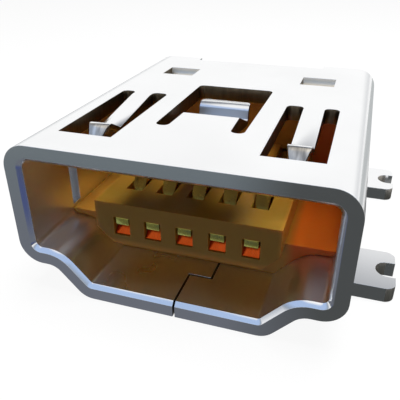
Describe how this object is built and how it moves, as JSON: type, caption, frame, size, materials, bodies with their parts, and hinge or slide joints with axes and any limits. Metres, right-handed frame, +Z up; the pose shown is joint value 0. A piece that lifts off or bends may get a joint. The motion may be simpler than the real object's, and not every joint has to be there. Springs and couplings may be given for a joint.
{
  "type": "mini usb socket",
  "caption": "Surface-mount mini USB type B receptacle: folded metal shell with spring windows, solder legs and a moulded contact tongue.",
  "frame": {"origin": "centre of the outer box at the board plane", "axes": "+X to the right as seen from the mouth, +Y from the mouth to the back, +Z up from the board"},
  "size_m": [0.0098, 0.0094, 0.0038],
  "materials": {
    "plated_steel": "polished",
    "orange_plastic": "gloss",
    "gold_plated_brass": "polished"
  },
  "bodies": {
    "root": {"shell": "plated_steel", "housing": "orange_plastic", "contact_1": "gold_plated_brass", "contact_2": "gold_plated_brass", "contact_3": "gold_plated_brass", "contact_4": "gold_plated_brass", "contact_5": "gold_plated_brass"}
  },
  "joints": []
}
